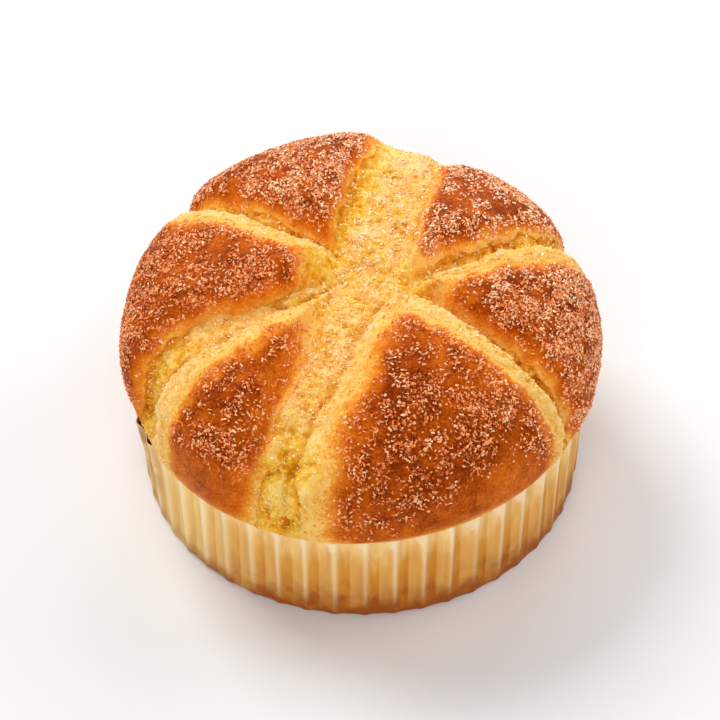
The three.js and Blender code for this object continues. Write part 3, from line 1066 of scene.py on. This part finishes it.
def strewing(name, grain, map_name, per_mm2, smallest, largest, seed):
    """The node tree that strews a grain, as dense as a map says. smallest and largest are
    (length, width, height) in millimetres."""
    tree = bpy.data.node_groups.new(name, "GeometryNodeTree")
    for way in ("INPUT", "OUTPUT"):
        tree.interface.new_socket("Geometry", in_out=way, socket_type="NodeSocketGeometry")
    strew = Network(tree)
    ground = strew.add("NodeGroupInput", "Geometry")
    density = strew.add("GeometryNodeInputNamedAttribute", "Attribute", {"Name": map_name},
                        data_type="FLOAT")
    points = strew.add("GeometryNodeDistributePointsOnFaces", "Points", {
        "Mesh": ground, "Density": strew.maths("MULTIPLY", density, per_mm2 / MM ** 2),
        "Seed": seed}, distribute_method="RANDOM")
    tip = strew.add("FunctionNodeRandomValue", "Value", {
        "Min": (-TILT, -TILT, 0), "Max": (TILT, TILT, math.tau), "Seed": seed + 1},
        data_type="FLOAT_VECTOR")
    tip = strew.add("FunctionNodeEulerToRotation", "Rotation", {"Euler": tip})
    turn = strew.add("FunctionNodeRotateRotation", "Rotation", {
        "Rotation": points.node.outputs["Rotation"], "Rotate By": tip}, rotation_space="LOCAL")
    chance = strew.add("FunctionNodeRandomValue", "Value", {"Seed": seed + 2},
                       data_type="FLOAT_VECTOR")
    chance = strew.add("ShaderNodeVectorMath", "Vector", {0: chance, 1: chance},
                       operation="MULTIPLY")  # squared, so that most grains are small
    size = strew.add("ShaderNodeVectorMath", "Vector", {
        0: chance, 1: Vector(largest) - Vector(smallest), 2: smallest},
        operation="MULTIPLY_ADD")
    shape = strew.add("GeometryNodeObjectInfo", "Geometry", {"Object": grain})
    copies = strew.add("GeometryNodeInstanceOnPoints", "Instances", {
        "Points": points, "Instance": shape, "Rotation": turn, "Scale": size})
    tone = strew.add("FunctionNodeRandomValue", "Value", {"Seed": seed + 3}, data_type="FLOAT")
    copies = strew.add("GeometryNodeStoreNamedAttribute", "Geometry", {
        "Geometry": copies, "Name": "tone", "Value": tone},
        data_type="FLOAT", domain="INSTANCE")
    real = strew.add("GeometryNodeRealizeInstances", "Geometry", {"Geometry": copies})
    strew.feed(tree.nodes.new("NodeGroupOutput").inputs["Geometry"], real)
    return tree


# %% Strew the sugar
def scatter(name, ground, **how):
    """Strews crystals over a piece, as a new piece of their own."""
    pick(ground)
    bpy.ops.object.duplicate()
    strewn = name_new(name)
    strewn.data.materials.clear()
    finish_with(strewn, "NODES", node_group=strewing(name, **how))
    count(strewn)
    return strewn


sugar_coarse = scatter(
    "sugar_coarse", bun, grain=grain, map_name="sugar", per_mm2=3.4,
    smallest=(0.4, 0.3, 0.26), largest=(1.15, 0.72, 0.56), seed=7)
sugar_fine = scatter(
    "sugar_fine", bun, grain=grain, map_name="dust", per_mm2=2.6,
    smallest=(0.3, 0.28, 0.25), largest=(0.9, 0.6, 0.5), seed=21)
bpy.data.objects.remove(grain)

# %% [markdown]
# ## Sugar finish
#
# Some grains are clear and glow in the colour of the crust beneath them, and others are
# cloudy: `amber` where they began to melt, and `white` at the back right, where they are
# painted whiter as a painted highlight. Each grain has a `tone` of its own, drawn when it
# was strewn, so one recipe serves them all.

# %% Sugar finish
def sugar_finish(name):
    """The finish of the crystals on crust and crumb."""
    sugar = Recipe(name)
    # Grains at the back right are painted lighter, as a painted highlight.
    tone = sugar.maths("MULTIPLY", sugar.map("frost"), 0.2)
    tone = sugar.maths("ADD", sugar.map("tone"), tone)
    beneath = sugar.ramp(sugar.map("brown"), [
        (0.15, 240, 160, 66), (0.5, 210, 106, 30), (0.9, 158, 64, 10)])
    amber = sugar.ramp(tone, [
        (0.4, 230, 118, 54), (0.65, 254, 156, 90), (0.85, 255, 184, 126),
        (1.0, 255, 212, 166)])
    white = sugar.ramp(tone, [
        (0.4, 226, 122, 60), (0.65, 248, 160, 98), (0.85, 255, 196, 144),
        (1.0, 255, 226, 190)])
    # White grains at the back right are a painted highlight.
    on_crust = sugar.mix(sugar.map("frost"), amber, white)
    on_crust = sugar.mix(sugar.spread(tone, 0.1, 0.5), beneath, on_crust)
    on_crumb = sugar.ramp(tone, [
        (0.0, 244, 170, 68), (0.4, 252, 202, 110), (0.8, 255, 224, 156),
        (1.0, 255, 238, 204)])
    return sugar.finished({
        "Base Color": sugar.mix(sugar.map("crust"), on_crumb, on_crust),
        "Roughness": sugar.spread(sugar.noise(0.3, 1), 0, 2.2),
        "Specular IOR Level": 0.4,
        "Specular Tint": srgb(255, 206, 156)})


for piece, name in ((sugar_coarse, "coarse sugar"), (sugar_fine, "fine sugar")):
    dress(piece, sugar_finish(name))

# %% [markdown]
# ## Whose place the pieces take
#
# The new bun and case stand for the solids of the construction, which are hidden. The sugar
# is added to them. Nothing on a bun turns or slides, so all four ride on the one body.

# %% Pieces and bodies
for piece, node, slot in ((bun, "bun", "crust"), (paper_case, "paper_case", "baking_paper")):
    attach(piece, "root")
    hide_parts(node)
for piece in (sugar_coarse, sugar_fine):
    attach(piece, "root")
print("new pieces:", ", ".join(p.name for p in (bun, paper_case, sugar_coarse, sugar_fine)))

# %% [markdown]
# ## Floor, light and camera
#
# The floor is a plain pale sheet, not part of the object. Sugar needs a strong light from
# behind to sparkle, and dough a wide one from the front that keeps its shadows soft. A long
# lens, far off, keeps the round case from looking stretched.

# %% Floor
FLOOR_SIZE = 4  # metres

bpy.ops.mesh.primitive_plane_add(size=FLOOR_SIZE, location=(0, 0, 0))
floor = name_new("floor")
dress(floor, Recipe("pale floor").finished({
    "Base Color": (0.8, 0.8, 0.805, 1),
    "Roughness": 0.9}))

# %% Light
LAMPS = [  # name, place and size in metres, power in watts
    ("key", (-0.45, 0.5, 0.85), 0.5, 7.5),
    ("fill", (-0.05, -0.95, 0.7), 0.9, 6),
    ("side", (0.8, 0.3, 0.6), 0.6, 3),
    ("back", (0.2, 0.9, 0.45), 0.5, 2.5),
]
LAMP_AIM = Vector((0, 0, 0.03))
ROOM_LIGHT = 0.34

for name, place, size, power in LAMPS:
    bpy.ops.object.light_add(type="AREA", location=place)
    lamp = name_new(name)
    lamp.data.size = size
    lamp.data.energy = power
    lamp.rotation_euler = (Vector(place) - LAMP_AIM).to_track_quat("Z", "Y").to_euler()
world = bpy.data.worlds.new("pale room")
bpy.context.scene.world = world
world.use_nodes = True
world.node_tree.nodes["Background"].inputs["Color"].default_value = (1, 1, 1, 1)
world.node_tree.nodes["Background"].inputs["Strength"].default_value = ROOM_LIGHT
bpy.context.scene.view_settings.view_transform = "Standard"
print(f"{len(LAMPS)} lamps, {sum(power for *_, power in LAMPS)} watts together")

# %% Camera
CAMERA_PLACE = (-5.7, -520.4, 568.2)  # from the foot of the case's axis
CAMERA_TILT = 43.9  # degrees up from straight down
CAMERA_TURN = -0.6
LENS = 187

bpy.ops.object.camera_add(
    location=[(axis + away) * MM for axis, away in zip((AXIS_X, AXIS_Y, 0), CAMERA_PLACE)],
    rotation=(math.radians(CAMERA_TILT), 0, math.radians(CAMERA_TURN)))
camera = name_new("camera")
camera.data.lens = LENS
bpy.context.scene.camera = camera
print(f"camera {Vector(CAMERA_PLACE).length / 10:.0f} cm away, looking down")
